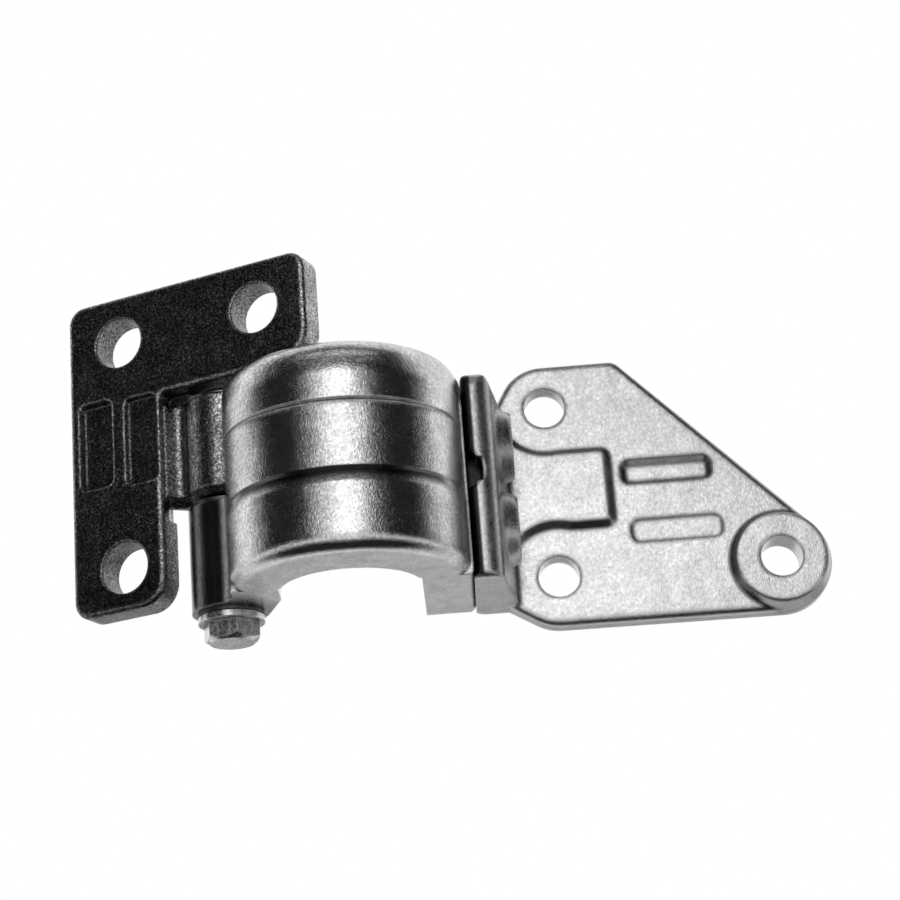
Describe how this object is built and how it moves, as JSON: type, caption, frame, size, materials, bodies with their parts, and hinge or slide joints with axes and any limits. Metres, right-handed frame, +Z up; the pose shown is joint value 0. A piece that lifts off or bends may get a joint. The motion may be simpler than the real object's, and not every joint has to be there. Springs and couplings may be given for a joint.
{
  "type": "truck door hinge",
  "caption": "Forged zinc-plated steel truck door hinge with a gooseneck arm between its pillar leaf and its door leaf.",
  "frame": {"origin": "centre of the pillar leaf's mounting face, midway between the two bolt holes of its long leg", "axes": "+Y out of the mounting face into the pillar, +Z up along the hinge pin, +X along the pillar leaf towards the door side"},
  "size_m": [0.2194, 0.1421, 0.1209],
  "materials": {
    "pillar_steel": "rough",
    "arm_steel": "satin",
    "door_steel": "satin",
    "fastener_zinc": "satin",
    "bush_steel": "satin"
  },
  "bodies": {
    "pillar": {"pillar_leaf": "pillar_steel", "hinge_pin": "fastener_zinc", "retaining_washer": "fastener_zinc", "retaining_screw": "fastener_zinc"},
    "door": {"hinge_arm": "arm_steel", "upper_bush": "bush_steel", "lower_bush": "bush_steel", "arm_washers": "fastener_zinc", "arm_screws": "fastener_zinc", "door_leaf": "door_steel"}
  },
  "joints": [
    {"name": "hinge", "type": "hinge", "parent": "pillar", "child": "door", "pos_m": [0.0305, 0.003, 0], "axis": [0, 0, 1], "range_deg": [-65, 25]}
  ]
}
